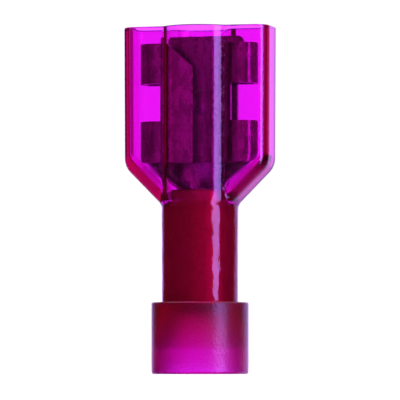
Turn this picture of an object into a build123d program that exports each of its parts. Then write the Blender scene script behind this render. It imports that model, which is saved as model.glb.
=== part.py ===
from build123d import *
import math
import os

# Fully insulated female spade terminal, in millimetres, standing on its wire end.
# +Z runs along the terminal from the wire entry to the mouth, and the origin is the centre of the
# collar's end face. X is the wide way of the flat mouth and Y the thin way. The metal receptacle
# has its base towards +Y and its rolled flanges towards -Y.

# Blade that the receptacle takes
blade_width = 6.35
blade_thickness = 0.8
blade_side_clearance = 0.025
blade_pinch = 0.05            # the sprung gap is this much less than the blade's thickness

# Receptacle, pierced and folded from one sheet
sheet = 0.4
base_bend = 0.2               # inside radius where the base turns up into a rail
roll_bend = 0.7               # inside radius of the rolled rails
flange_gap = 0.95             # between the two edges that press on the blade
rail_length = 7.5
tongue_width = 5.33
tongue_reach = 0.55           # how far the tongue stands out in front of the rails
tongue_corner = 0.35
lead_in_width = 3.8           # across both cut corners at the flanges' front edge
lead_in_depth = 1.81          # from the front edge down to where the two cuts would meet
window_length = 2.37
window_from_rear = 2.6        # from the rails' rear end to the windows
waist_width = 4.54            # what is left of the sheet between the two windows
dimple_width = 1.7
dimple_height = 0.25
dimple_from_rear = 3.9        # from the rails' rear end to the detent's centre
trough_width = 7.1            # of the sheet at the rails' rear ends, where it starts to curl
trough_flat_wrap = 1.2        # degrees that half the sheet is curled there
trough_wrap = 100.0           # degrees of half the barrel's wall that run on into the trough
trough_steps = 6

# Crimp barrel and the sleeve round it
barrel_bore = 2.0
barrel_length = 6.9
barrel_chamfer = 0.12
seam_gap = 0.08
sleeve_wall = 0.43
sleeve_clearance = 0.02       # between barrel and sleeve, and between sleeve and neck
sleeve_chamfer = 0.1
sleeve_setback = 0.05         # the sleeve ends this far short of the barrel at the mouth end
sleeve_overhang = 0.4         # and runs this far past the barrel at the wire end

# Moulded housing
wall = 0.48                   # of the mouth box and the ridge
shoulder_wall = 0.68
neck_wall = 0.52
neck_length = 6.0
neck_draft = 0.24             # degrees
barrel_reach = 1.1            # how far the barrel stands out of the neck into the mouth
collar_wall = 0.72
collar_length = 4.5
collar_edge = 0.15            # rounding at the end face
ledge_edge = 0.06             # chamfer round the collar's ledge
wire_bore = 4.66
wire_bore_depth = 1.6
ridge_clearance = 0.27        # round the sleeve as it goes in through the mouth
ridge_step = 0.43             # height of the slope from the neck out to the ridge
ridge_edge = 1.5              # rounding between that slope and the ridge
crease_radius = 0.25          # between the ridge and the flat faces
mouth_length = 8.79           # from the shoulders' corners to the mouth
mouth_draft = 0.3             # degrees, in the wide direction
shoulder_angle = 45.0         # from the long axis
shoulder_sink = 0.29          # how far the shoulders' slope runs into the neck
shoulder_radius = 1.3
face_edge = 0.9               # rounding between the flat faces and the narrow sides
cavity_edge = 0.45            # the same rounding inside
rim_edge = 0.1
side_clearance = 0.39         # between a rail and the housing's side wall
face_clearance = 0.075        # between the receptacle and the housing's flat walls
seat_clearance = 0.1          # between the rails' rear corners and the inner shoulders

# Receptacle section, worked out from the blade and the sheet
base_inner_y = roll_bend
base_outer_y = base_inner_y + sheet
base_mid_y = base_inner_y + sheet / 2
base_flat = blade_width / 2 + blade_side_clearance
rail_inner_x = base_flat + base_bend
rail_outer_x = rail_inner_x + sheet
roll_x = rail_inner_x - roll_bend
press_x = flange_gap / 2
press_y = base_inner_y - (blade_thickness - blade_pinch)
press_run = roll_x - press_x
flange_slope = math.asin(roll_bend / math.hypot(press_run, press_y)) - math.atan2(-press_y, press_run)

# Radii about the long axis
barrel_inner_r = barrel_bore / 2
barrel_middle_r = barrel_inner_r + sheet / 2
barrel_outer_r = barrel_inner_r + sheet
sleeve_inner_r = barrel_outer_r + sleeve_clearance
sleeve_outer_r = sleeve_inner_r + sleeve_wall
neck_bore_r = sleeve_outer_r + sleeve_clearance
neck_low_r = neck_bore_r + neck_wall
neck_top_r = neck_low_r + neck_length * math.tan(math.radians(neck_draft))
channel_r = sleeve_outer_r + ridge_clearance
ridge_r = channel_r + wall
wire_bore_r = wire_bore / 2
collar_r = wire_bore_r + collar_wall

# Mouth box: half sizes, then heights of the shoulders and the mouth
mouth_half_x = rail_outer_x + side_clearance + wall
mouth_half_y = base_outer_y + face_clearance + wall
neck_top = collar_length + neck_length
shoulder_tan = math.tan(math.radians(shoulder_angle))
shoulder_z = neck_top + (mouth_half_x - neck_top_r + shoulder_sink) / shoulder_tan
mouth_z = shoulder_z + mouth_length

# Heights along the metal
barrel_top = neck_top + barrel_reach
barrel_end = barrel_top - barrel_length
sleeve_top = barrel_top - sleeve_setback
sleeve_end = barrel_end - sleeve_overhang
inner_shoulder_x = mouth_half_x - shoulder_wall / math.cos(math.radians(shoulder_angle))
rail_rear = (shoulder_z - (inner_shoulder_x - rail_outer_x) / shoulder_tan
             + seat_clearance / math.sin(math.radians(shoulder_angle)))
rail_front = rail_rear + rail_length
tongue_end = rail_front + tongue_reach


def front_profile(inset, shoulder_inset, bottom, top, corner_radius):
    """Outline of the mouth box in the XZ plane, moved inwards from its sides and its shoulders."""
    spread = math.tan(math.radians(mouth_draft))
    corner_x = mouth_half_x - inset
    corner_z = (shoulder_z - inset / shoulder_tan
                + shoulder_inset / math.sin(math.radians(shoulder_angle)))
    low_x = corner_x - (corner_z - bottom) * shoulder_tan
    top_x = corner_x + (top - corner_z) * spread
    corners = [(low_x, bottom), (corner_x, corner_z), (top_x, top),
               (-top_x, top), (-corner_x, corner_z), (-low_x, bottom)]
    outline = make_face(Polyline(corners, close=True))
    shoulders = outline.vertices().filter_by(lambda v: abs(v.Y - corner_z) < 1e-6)
    return Plane.XZ * fillet(shoulders, corner_radius)


def mouth_slab(inset, shoulder_inset, bottom, top, corner_radius, edge_radius):
    """Flat box with shoulders: the front profile given its thickness, with rounded long edges."""
    half_y = mouth_half_y - inset
    slab = extrude(front_profile(inset, shoulder_inset, bottom, top, corner_radius), half_y, both=True)
    across = slab.edges().filter_by(Axis.Y)
    level = slab.edges().filter_by(Axis.X)
    return fillet(slab.edges() - across - level, edge_radius)


def turned(points, rounded, radius):
    """Solid of revolution about Z from (radius, height) points, with some corners rounded."""
    half = make_face(Polyline(points, close=True))
    corners = half.vertices().filter_by(
        lambda v: any(abs(v.X - r) < 1e-6 and abs(v.Y - z) < 1e-6 for r, z in rounded))
    half = fillet(corners, radius) if rounded else half
    return revolve(Plane.XZ * half, Axis.Z)


def housing_outside():
    """Mouth box with the ridge down both faces, the neck and the collar."""
    ridge_low = (neck_top_r, neck_top)
    ridge_high = (ridge_r, neck_top + ridge_step)
    ridge = turned([(0, neck_top), ridge_low, ridge_high, (ridge_r, mouth_z), (0, mouth_z)],
                   [ridge_high], ridge_edge)
    slab = mouth_slab(0, 0, neck_top, mouth_z, shoulder_radius, face_edge)
    body = slab + ridge
    creases = body.edges().filter_by(Axis.Z).filter_by(
        lambda e: abs(abs(e.center().Y) - mouth_half_y) < 1e-6
        and abs(e.center().X) < ridge_r)
    body = fillet(creases, crease_radius)
    neck = turned([(0, 0), (neck_low_r, 0), (neck_low_r, collar_length), ridge_low, (0, neck_top)],
                  [], 0)
    collar_foot = (collar_r, 0)
    collar = turned([(0, 0), collar_foot, (collar_r, collar_length - ledge_edge),
                     (collar_r - ledge_edge, collar_length), (0, collar_length)],
                    [collar_foot], collar_edge)
    return body + neck + collar


def housing_inside():
    """Room for the receptacle, the ridge's channel, the neck's bore and the wire's funnel."""
    past_mouth = mouth_z + wall
    room = mouth_slab(wall, shoulder_wall, neck_top, past_mouth, shoulder_radius - wall, cavity_edge)
    ledge = sleeve_end - sleeve_clearance
    bores = turned([(0, -wall), (wire_bore_r, -wall), (wire_bore_r, wire_bore_depth),
                    (sleeve_inner_r, ledge), (neck_bore_r, ledge), (neck_bore_r, neck_top),
                    (channel_r, neck_top + ridge_step), (channel_r, past_mouth),
                    (0, past_mouth)], [], 0)
    return room + bores


def make_housing():
    body = housing_outside() - housing_inside()
    rim = body.faces().sort_by(Axis.Z)[-1]
    return fillet(rim.outer_wire().edges(), rim_edge)


def rail_section():
    """Half of the folded sheet across the rails: base, upright, rolled rail and flange."""
    bend_r = base_bend + sheet / 2
    roll_r = roll_bend + sheet / 2
    side_x = rail_outer_x - sheet / 2
    top_turn = -math.pi / 2 - flange_slope
    roll_end = (roll_x + roll_r * math.cos(top_turn), roll_r * math.sin(top_turn))
    middle_turn = top_turn / 2
    roll_middle = (roll_x + roll_r * math.cos(middle_turn), roll_r * math.sin(middle_turn))
    tip = (press_x - sheet / 2 * math.sin(flange_slope), press_y - sheet / 2 * math.cos(flange_slope))
    bend_y = base_mid_y - bend_r
    bend_step = bend_r * math.sqrt(0.5)
    half = [
        Line((0, base_mid_y), (base_flat, base_mid_y)),
        ThreePointArc((base_flat, base_mid_y), (base_flat + bend_step, bend_y + bend_step), (side_x, bend_y)),
        Line((side_x, bend_y), (side_x, 0)),
        ThreePointArc((side_x, 0), roll_middle, roll_end),
        Line(roll_end, tip),
    ]
    return trace(Wire(half), sheet)


def make_rails():
    """Rolled rails and flanges with their lead-in cut and the windows through the bends."""
    rail = extrude(Pos(0, 0, rail_rear) * rail_section(), rail_length, dir=(0, 0, 1))
    rails = rail + mirror(rail, Plane.YZ)
    lead_in = Plane.XZ * make_face(Polyline(
        [(-lead_in_width / 2, rail_front), (0, rail_front - lead_in_depth),
         (lead_in_width / 2, rail_front)], close=True))
    rails -= extrude(lead_in, rail_outer_x)
    window_x = rail_outer_x - waist_width / 2
    window = Box(window_x, 4 * base_outer_y, window_length)
    window_z = rail_rear + window_from_rear + window_length / 2
    for side in (-1, 1):
        rails -= Pos(side * (waist_width + window_x) / 2, 0, window_z) * window
    return rails


def make_tongue():
    """The base where it stands out in front of the rails."""
    reach = tongue_reach + sheet
    blank = Pos(0, tongue_end - reach / 2) * Rectangle(tongue_width, reach)
    front = blank.vertices().group_by(Axis.Y)[-1]
    face = Plane.XZ * fillet(front, tongue_corner)
    return Pos(0, base_outer_y, 0) * extrude(face, sheet)


def curled_sheet(middle_radius, half_angle, middle_y, z):
    """Edges of the sheet curled about the long axis at height z: outer face, side, inner face, side."""
    centre_y = middle_y - middle_radius

    def at(radius, turn):
        angle = math.radians(half_angle) * turn
        return (radius * math.sin(angle), centre_y + radius * math.cos(angle), z)

    outer = middle_radius + sheet / 2
    inner = middle_radius - sheet / 2
    return [
        ThreePointArc(at(outer, -1), at(outer, 0), at(outer, 1)),
        Line(at(outer, 1), at(inner, 1)),
        ThreePointArc(at(inner, 1), at(inner, 0), at(inner, -1)),
        Line(at(inner, -1), at(outer, -1)),
    ]


def make_trough():
    """The sheet uncurling from the barrel's lower half to the flat base at the rails' rear ends."""
    sections = []
    for step in range(trough_steps + 1):
        share = step / trough_steps
        wrap = trough_wrap + (trough_flat_wrap - trough_wrap) * share
        curled_half = math.radians(trough_wrap) * barrel_middle_r
        half_width = curled_half + (trough_width / 2 - curled_half) * share
        middle_y = barrel_middle_r + (base_mid_y - barrel_middle_r) * share
        z = barrel_top + (rail_rear - barrel_top) * share
        sections.append(curled_sheet(half_width / math.radians(wrap), wrap, middle_y, z))
    faces = [Face(Wire(sections[0])), Face(Wire(sections[-1]))]
    for low, high in zip(sections, sections[1:]):
        faces += [Face.make_surface_from_curves(Edge(a.wrapped), Edge(b.wrapped)) for a, b in zip(low, high)]
    return Solid(Shell(faces))


def make_barrel():
    """Rolled crimp barrel, its seam towards the flanges' side."""
    wrap = 180 - math.degrees(seam_gap / 2 / barrel_middle_r)
    section = make_face(curled_sheet(barrel_middle_r, wrap, barrel_middle_r, barrel_end))
    barrel = extrude(section, barrel_length, dir=(0, 0, 1))
    ends = barrel.edges().filter_by(GeomType.CIRCLE).group_by(Axis.Z)[0]
    return chamfer(ends.sort_by(SortBy.LENGTH)[0], barrel_chamfer)


def add_dimple(receptacle):
    """Pressed detent in the base that clicks into the blade's hole."""
    rise_r = ((dimple_width / 2) ** 2 + dimple_height ** 2) / (2 * dimple_height)
    centre = Pos(0, base_inner_y - dimple_height + rise_r, rail_rear + dimple_from_rear)
    bump = centre * Sphere(rise_r)
    keep = Pos(0, base_mid_y - rise_r, rail_rear + dimple_from_rear) * Box(
        2 * rise_r, 2 * rise_r, 2 * rise_r)
    hollow = centre * Sphere(rise_r - sheet)
    return receptacle + (bump & keep) - hollow


def make_terminal():
    folded = make_rails() + make_tongue() + make_trough() + make_barrel()
    return add_dimple(folded)


def make_sleeve():
    """Plain tube round the crimp barrel, eased at the end where the wire comes in."""
    tube = Cylinder(sleeve_outer_r, sleeve_top - sleeve_end, align=(Align.CENTER, Align.CENTER, Align.MIN))
    tube -= Cylinder(sleeve_inner_r, sleeve_top - sleeve_end, align=(Align.CENTER, Align.CENTER, Align.MIN))
    tube = Pos(0, 0, sleeve_end) * tube
    outer_ends = tube.edges().filter_by(GeomType.CIRCLE).filter_by(lambda e: e.radius > sleeve_inner_r + 1e-6)
    return chamfer(outer_ends, sleeve_chamfer)


os.makedirs("parts", exist_ok=True)
pieces = {
    "housing": make_housing(),
    "receptacle_terminal": make_terminal(),
    "crimp_sleeve": make_sleeve(),
}
for name, piece in pieces.items():
    export_step(piece, f"parts/{name}.step")
    box = piece.bounding_box()
    print(name, len(piece.solids()), "solid, volume", round(piece.volume, 3),
          "from", [round(v, 3) for v in box.min], "to", [round(v, 3) for v in box.max])
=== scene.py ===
import math

import bpy
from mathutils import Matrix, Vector


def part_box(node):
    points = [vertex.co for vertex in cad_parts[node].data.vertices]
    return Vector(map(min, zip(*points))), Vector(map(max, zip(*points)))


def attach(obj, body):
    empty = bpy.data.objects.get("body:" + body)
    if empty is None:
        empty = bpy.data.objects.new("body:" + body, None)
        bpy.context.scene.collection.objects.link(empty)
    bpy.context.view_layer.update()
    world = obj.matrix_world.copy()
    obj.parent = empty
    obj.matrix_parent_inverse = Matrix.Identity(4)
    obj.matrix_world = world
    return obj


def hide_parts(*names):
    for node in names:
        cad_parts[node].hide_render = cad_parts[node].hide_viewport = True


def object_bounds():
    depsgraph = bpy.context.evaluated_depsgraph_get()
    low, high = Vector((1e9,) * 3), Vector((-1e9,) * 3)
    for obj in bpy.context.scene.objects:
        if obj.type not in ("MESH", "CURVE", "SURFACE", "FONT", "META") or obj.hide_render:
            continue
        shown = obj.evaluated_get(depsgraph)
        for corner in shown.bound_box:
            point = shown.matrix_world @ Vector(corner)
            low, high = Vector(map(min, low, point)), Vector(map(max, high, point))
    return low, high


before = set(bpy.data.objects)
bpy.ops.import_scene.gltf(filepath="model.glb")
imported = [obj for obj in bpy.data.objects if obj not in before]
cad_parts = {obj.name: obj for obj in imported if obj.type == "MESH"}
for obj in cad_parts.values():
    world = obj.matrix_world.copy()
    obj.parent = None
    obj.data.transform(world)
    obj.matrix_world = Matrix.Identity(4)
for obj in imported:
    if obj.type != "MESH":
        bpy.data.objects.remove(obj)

# Female spade terminal in clear magenta nylon, upright on its wire end in a white studio.
# Bearings are in degrees round the terminal: 0 looks at its rolled flanges, and 90 at its right side.

cad_low, cad_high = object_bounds()
mm = 0.001
white = (1, 1, 1)

# Camera, level with the floor and turned so that the right side shows
photo_turn = 14.8
camera_reach = 225 * mm
camera_height = 0.6 * mm
aim_height = 10.95 * mm
photo_side = 400              # pixels
photo_scale = 15.9            # pixels per millimetre at the long axis
sensor_width = 36             # millimetres
nearest_shown = 1 * mm
farthest_shown = 10           # metres

# Nylon: its depth takes the colour, and its surface is clear and glossy outside the zones below
nylon_index = 1.53
nylon_tint = (0.949, 0.0, 0.797)
nylon_density = 5500          # per metre
nylon_rough = 0.04
collar_rough = 0.42
ridge_rough = 0.03            # this and the next two are added to the roughness of the clear nylon
shoulder_rough = 0.34
rim_rough = 0.6
collar_skin = 0.5             # share of a glossy skin over the cloudy collar
collar_skin_rough = 0.1

# Zones of the housing, each from where it starts to fade in to where it is complete
collar_from = (4.6 * mm, 4.45 * mm)       # heights
cloud_from = (4.7 * mm, 4.4 * mm)
mouth_from = (10.9 * mm, 11.3 * mm)
shoulder_top = (13.5 * mm, 12.7 * mm)
shoulder_foot = (10.2 * mm, 10.6 * mm)
rim_from = (cad_high[2] - 0.06 * mm, cad_high[2] - 0.02 * mm)
shoulder_side = (2.1 * mm, 2.5 * mm)      # distances in X from the long axis
ridge_side = (2.8 * mm, 2.7 * mm)
ridge_front = (1.68 * mm, 1.74 * mm)      # distance in Y from the long axis

# Unevenness of the nylon: fine grain on the collar and a little on the ridge, slow waves on the neck
grain_size = (0.13 * mm, 0.13 * mm, 0.13 * mm)
grain_depth = 0.026 * mm
ridge_grain = 0.06            # share of the collar's grain
wave_size = (0.7 * mm, 0.7 * mm, 1.1 * mm)
wave_depth = 0.05 * mm
nearly_round = (0.95, 0.97)   # cosine of the angle between a surface and a round one

# Metals: darkest and brightest tone, then least and most roughness
tin_tones = ((0.17, 0.16, 0.15), (0.36, 0.345, 0.32))
tin_rough = (0.2, 0.34)
brass_tones = ((0.36, 0.14, 0.05), (0.46, 0.18, 0.07))
brass_rough = (0.4, 0.55)

# Unevenness of the metals: mottled tone, specks, and fine rolling marks along the terminal
mottle_size = (0.45 * mm, 0.45 * mm, 0.9 * mm)
mottle_range = (0.3, 0.7)
speck_size = (0.1 * mm, 0.1 * mm, 0.1 * mm)
speck_share = 0.6
spot_range = (0.62, 1.0)
mark_size = (0.07 * mm, 0.07 * mm, 2.5 * mm)
mark_depth = 0.004 * mm

# Sleeve, as it sits once pressed into the neck
sleeve_press = 0.03 * mm
sleeve_wall = 0.45 * mm
sleeve_edge = 0.1 * mm
sleeve_sides = 192
sharp_angle = 30              # degrees

# Light that comes through the nylon: from behind, from the camera's side, from elsewhere and from the floor
back_turn = 185.8
back_spread = (22, 46)        # degrees to each side: full up to the first angle, none past the second
front_turn = 17.0
front_spread = (8, 34)
floor_rise = (-0.05, -0.4)    # sine of the angle above level
through_back = (1.25, 1.6, 3.2)
through_front = (1.0, 1.0, 1.5)
through_side = (0.42, 0.4, 0.62)
through_floor = (1.1, 1.1, 2.9)

# Light that surfaces mirror: from behind, from elsewhere and from overhead
mirrored_spread = (22, 50)
ceiling_rise = (0.45, 0.85)
mirrored_back = (1.1, 0.65, 1.7)
mirrored_room = (0.012, 0.012, 0.02)
mirrored_top = (0.5, 0.5, 0.6)

# Backdrop as the camera sees it, and the light on the floor that makes it as white
backdrop_white = 1.05
floor_white = 1.35
floor_half = 600 * mm
floor_colour = (0.9, 0.9, 0.9)
floor_rough = 0.8

# Strip light on the right, whose reflection runs down the ridge and the neck
strip_turn = photo_turn + 50
strip_reach = 400 * mm
strip_size = (150 * mm, 800 * mm)
strip_radiance = 10
strip_colour = (0.42, 0.26, 1.0)


def node_tree(name):
    """New material and its empty node tree."""
    material = bpy.data.materials.new(name)
    material.use_nodes = True
    tree = material.node_tree
    tree.nodes.clear()
    return material, tree


def add(tree, kind, **settings):
    """New node with its settings."""
    node = tree.nodes.new(kind)
    for key, value in settings.items():
        setattr(node, key, value)
    return node


def give(tree, slot, value):
    """Link another node's output into an input, or set the input to a constant."""
    if isinstance(value, bpy.types.NodeSocket):
        tree.links.new(value, slot)
    elif slot.type == "RGBA":
        slot.default_value = (*value, 1.0)
    else:
        slot.default_value = value


def feed(tree, node, **inputs):
    """Give a node's inputs, by name, an output or a constant each."""
    for name, value in inputs.items():
        give(tree, node.inputs[name.replace("_", " ")], value)


def math_node(tree, operation, *values):
    """Math on outputs and numbers."""
    node = add(tree, "ShaderNodeMath", operation=operation)
    for slot, value in zip(node.inputs, values):
        give(tree, slot, value)
    return node.outputs[0]


def product(tree, first, *others):
    for other in others:
        first = math_node(tree, "MULTIPLY", first, other)
    return first


def total(tree, first, *others):
    for other in others:
        first = math_node(tree, "ADD", first, other)
    return first


def vector_node(tree, operation, first, second=None):
    """Vector math on outputs and constants. It gives a vector, or a value for a dot product."""
    node = add(tree, "ShaderNodeVectorMath", operation=operation)
    give(tree, node.inputs[0], first)
    if second is not None:
        give(tree, node.inputs["Scale" if operation == "SCALE" else 1], second)
    return node.outputs["Value" if operation == "DOT_PRODUCT" else "Vector"]


def fade(tree, value, start, end, low=0.0, high=1.0):
    """Smooth change from `low`, where the value is `start`, to `high`, where it is `end`."""
    node = add(tree, "ShaderNodeMapRange", interpolation_type="SMOOTHSTEP")
    feed(tree, node, Value=value, From_Min=start, From_Max=end, To_Min=low, To_Max=high)
    return node.outputs["Result"]


def two_tone(tree, share, low, high):
    """Mix of two colours, all `low` at a share of none and all `high` at a share of one."""
    node = add(tree, "ShaderNodeMix", data_type="RGBA")
    colours = [slot for slot in node.inputs if slot.type == "RGBA"]
    for slot, value in zip((node.inputs[0], *colours), (share, low, high)):
        give(tree, slot, value)
    return next(slot for slot in node.outputs if slot.type == "RGBA")


def noise(tree, place, size, detail):
    """Procedural noise with lumps of a size in X, Y and Z."""
    node = add(tree, "ShaderNodeTexNoise")
    feed(tree, node, Vector=vector_node(tree, "DIVIDE", place, size), Scale=1.0, Detail=detail)
    return node.outputs["Fac"]


def bumps(tree, height, depth, **inputs):
    """Normal of a surface with bumps of a depth."""
    node = add(tree, "ShaderNodeBump")
    feed(tree, node, Strength=1.0, Distance=depth, Height=height, **inputs)
    return node.outputs["Normal"]


def turned_normal(tree, x, y, share):
    """The surface's normal, made exactly round about the long axis where it is nearly so, by a share."""
    flat = add(tree, "ShaderNodeCombineXYZ")
    feed(tree, flat, X=x, Y=y)
    turn = add(tree, "ShaderNodeVectorTransform", vector_type="NORMAL",
               convert_from="OBJECT", convert_to="WORLD")
    feed(tree, turn, Vector=flat.outputs[0])
    outward = vector_node(tree, "NORMALIZE", turn.outputs[0])
    normal = add(tree, "ShaderNodeNewGeometry").outputs["Normal"]
    facing = vector_node(tree, "DOT_PRODUCT", outward, normal)
    near = fade(tree, math_node(tree, "ABSOLUTE", facing), *nearly_round)
    turned = vector_node(tree, "SCALE", outward, math_node(tree, "SIGN", facing))
    change = vector_node(tree, "SUBTRACT", turned, normal)
    change = vector_node(tree, "SCALE", change, product(tree, near, share))
    return vector_node(tree, "NORMALIZE", vector_node(tree, "ADD", normal, change))


def make_nylon():
    """Clear magenta nylon, cloudy and grained at the collar and cloudy at the shoulders and the rim."""
    material, tree = node_tree("magenta_nylon")
    place = add(tree, "ShaderNodeTexCoord").outputs["Object"]
    split = add(tree, "ShaderNodeSeparateXYZ")
    feed(tree, split, Vector=place)
    x, y, height = split.outputs
    out_x = math_node(tree, "ABSOLUTE", x)
    out_y = math_node(tree, "ABSOLUTE", y)

    collar = fade(tree, height, *collar_from)
    mouth = fade(tree, height, *mouth_from)
    neck = math_node(tree, "SUBTRACT", 1.0, math_node(tree, "MAXIMUM", collar, mouth))
    ridge = product(tree, fade(tree, out_y, *ridge_front), mouth)
    near_ridge = product(tree, fade(tree, out_x, *ridge_side), mouth)
    shoulder = product(tree, fade(tree, height, *shoulder_top), fade(tree, height, *shoulder_foot),
                       fade(tree, out_x, *shoulder_side))

    rough = total(tree, fade(tree, height, *cloud_from, nylon_rough, collar_rough),
                  product(tree, ridge, ridge_rough), product(tree, shoulder, shoulder_rough),
                  fade(tree, height, *rim_from, 0.0, rim_rough))

    waves = product(tree, noise(tree, place, wave_size, 3.0), neck)
    waved = bumps(tree, waves, wave_depth, Normal=turned_normal(tree, x, y, near_ridge))
    coarse = total(tree, product(tree, ridge, ridge_grain), collar)
    grain = product(tree, noise(tree, place, grain_size, 2.0), coarse)
    grained = bumps(tree, grain, grain_depth, Normal=waved)

    body = add(tree, "ShaderNodeBsdfPrincipled")
    feed(tree, body, Base_Color=white, Transmission_Weight=1.0, IOR=nylon_index, Roughness=rough,
         Normal=grained, Coat_Weight=product(tree, collar, collar_skin),
         Coat_Roughness=collar_skin_rough, Coat_Normal=grained)
    depth = add(tree, "ShaderNodeVolumeAbsorption")
    feed(tree, depth, Color=nylon_tint, Density=nylon_density)
    out = add(tree, "ShaderNodeOutputMaterial")
    feed(tree, out, Surface=body.outputs[0], Volume=depth.outputs[0])
    return material


def make_metal(name, tones, roughness):
    """Sheet metal, mottled and specked, with rolling marks."""
    material, tree = node_tree(name)
    place = add(tree, "ShaderNodeTexCoord").outputs["Object"]
    mottle = noise(tree, place, mottle_size, 4.0)
    speck = noise(tree, place, speck_size, 2.0)
    marks = noise(tree, place, mark_size, 3.0)
    spots = total(tree, mottle, product(tree, speck, speck_share))
    body = add(tree, "ShaderNodeBsdfPrincipled")
    feed(tree, body, Metallic=1.0, Base_Color=two_tone(tree, fade(tree, spots, *spot_range), *tones),
         Roughness=fade(tree, mottle, *mottle_range, *roughness),
         Normal=bumps(tree, total(tree, marks, speck), mark_depth))
    out = add(tree, "ShaderNodeOutputMaterial")
    feed(tree, out, Surface=body.outputs[0])
    return material


def dress(node, material):
    """Give a CAD node its material."""
    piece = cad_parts[node]
    for slot in piece.material_slots:
        slot.link = "OBJECT"
        slot.material = material


def put(name, data):
    """New object in the scene."""
    thing = bpy.data.objects.new(name, data)
    bpy.context.scene.collection.objects.link(thing)
    return thing


def make_sleeve(material):
    """Sleeve pressed out against the nylon, so that no air shows between them."""
    low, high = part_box("crimp_sleeve")
    bottom, top = low[2], high[2]
    outer = (high[0] - low[0]) / 2 + sleeve_press
    inner = outer - sleeve_wall
    section = [(inner, bottom), (outer - sleeve_edge, bottom), (outer, bottom + sleeve_edge),
               (outer, top - sleeve_edge), (outer - sleeve_edge, top), (inner, top)]
    corners = len(section)
    points = []
    faces = []
    for side in range(sleeve_sides):
        angle = 2 * math.pi * side / sleeve_sides
        points += [(radius * math.cos(angle), radius * math.sin(angle), z) for radius, z in section]
        here = side * corners
        there = (side + 1) % sleeve_sides * corners
        for corner in range(corners):
            after = (corner + 1) % corners
            faces.append((here + corner, there + corner, there + after, here + after))
    mesh = bpy.data.meshes.new("sleeve")
    mesh.from_pydata(points, [], faces)
    mesh.shade_smooth()
    mesh.set_sharp_from_angle(angle=math.radians(sharp_angle))
    mesh.materials.append(material)
    sleeve = put("sleeve", mesh)
    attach(sleeve, "root")
    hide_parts("crimp_sleeve")


def direction(turn):
    """Level direction from the long axis at a bearing."""
    angle = math.radians(turn)
    return Vector((math.sin(angle), -math.cos(angle), 0))


def aim(thing, place):
    """Move a camera or a light to a place and turn it towards the terminal's middle."""
    thing.location = place
    thing.rotation_mode = "QUATERNION"
    thing.rotation_quaternion = (Vector((0, 0, aim_height)) - place).to_track_quat("-Z", "Y")


def make_camera():
    data = bpy.data.cameras.new("camera")
    camera = put("camera", data)
    aim(camera, direction(photo_turn) * camera_reach + Vector((0, 0, camera_height)))
    view_width = photo_side / photo_scale * mm
    data.sensor_width = sensor_width
    data.lens = sensor_width * camera_reach / view_width
    data.clip_start = nearest_shown
    data.clip_end = farthest_shown
    bpy.context.scene.camera = camera


def lobe(tree, flat, turn, spread):
    """Share of light at a level direction, from a source at a bearing with a spread to each side."""
    facing = vector_node(tree, "DOT_PRODUCT", flat, direction(turn))
    full, none = [math.cos(math.radians(angle)) for angle in spread]
    return fade(tree, facing, none, full)


def glow(tree, colour, strength=1.0):
    """Surroundings that shine in a colour."""
    node = add(tree, "ShaderNodeBackground")
    feed(tree, node, Color=colour, Strength=strength)
    return node.outputs[0]


def make_world():
    """White for the camera and the floor, bright through the nylon, and a dark room in reflections."""
    world = bpy.data.worlds.new("studio")
    bpy.context.scene.world = world
    world.use_nodes = True
    world.cycles.sampling_method = "NONE"
    tree = world.node_tree
    tree.nodes.clear()
    around = add(tree, "ShaderNodeTexCoord").outputs["Generated"]
    flat = vector_node(tree, "NORMALIZE", vector_node(tree, "MULTIPLY", around, (1, 1, 0)))
    split = add(tree, "ShaderNodeSeparateXYZ")
    feed(tree, split, Vector=around)
    rise = split.outputs["Z"]

    through = two_tone(tree, lobe(tree, flat, front_turn, front_spread), through_side, through_front)
    through = two_tone(tree, lobe(tree, flat, back_turn, back_spread), through, through_back)
    through = two_tone(tree, fade(tree, rise, *floor_rise), through, through_floor)
    mirrored = two_tone(tree, lobe(tree, flat, back_turn, mirrored_spread), mirrored_room, mirrored_back)
    mirrored = two_tone(tree, fade(tree, rise, *ceiling_rise), mirrored, mirrored_top)

    path = add(tree, "ShaderNodeLightPath")
    shown = glow(tree, mirrored)
    for ray, seen in (("Transmission", glow(tree, through)),
                      ("Camera", glow(tree, white, backdrop_white)),
                      ("Diffuse", glow(tree, white, floor_white))):
        pick = add(tree, "ShaderNodeMixShader")
        for slot, value in zip(pick.inputs, (path.outputs[f"Is {ray} Ray"], shown, seen)):
            give(tree, slot, value)
        shown = pick.outputs[0]
    out = add(tree, "ShaderNodeOutputWorld")
    feed(tree, out, Surface=shown)


def make_floor():
    """Plain pale floor, left out of what the nylon mirrors and lets through."""
    mesh = bpy.data.meshes.new("floor")
    corners = [(-1, -1), (1, -1), (1, 1), (-1, 1)]
    mesh.from_pydata([(x * floor_half, y * floor_half, 0) for x, y in corners], [], [(0, 1, 2, 3)])
    material, tree = node_tree("floor")
    body = add(tree, "ShaderNodeBsdfPrincipled")
    feed(tree, body, Base_Color=floor_colour, Roughness=floor_rough, Specular_IOR_Level=0.0)
    out = add(tree, "ShaderNodeOutputMaterial")
    feed(tree, out, Surface=body.outputs[0])
    mesh.materials.append(material)
    floor = put("floor", mesh)
    floor.visible_glossy = False
    floor.visible_transmission = False


def make_strip():
    data = bpy.data.lights.new("strip", "AREA")
    data.shape = "RECTANGLE"
    data.size, data.size_y = strip_size
    data.energy = strip_radiance * math.pi * data.size * data.size_y
    data.color = strip_colour
    light = put("strip", data)
    aim(light, direction(strip_turn) * strip_reach + Vector((0, 0, aim_height)))
    light.visible_camera = False


make_camera()
make_world()
make_floor()
make_strip()
dress("housing", make_nylon())
dress("receptacle_terminal", make_metal("tinned_brass", tin_tones, tin_rough))
make_sleeve(make_metal("sleeve_brass", brass_tones, brass_rough))
bpy.context.scene.view_settings.view_transform = "Standard"
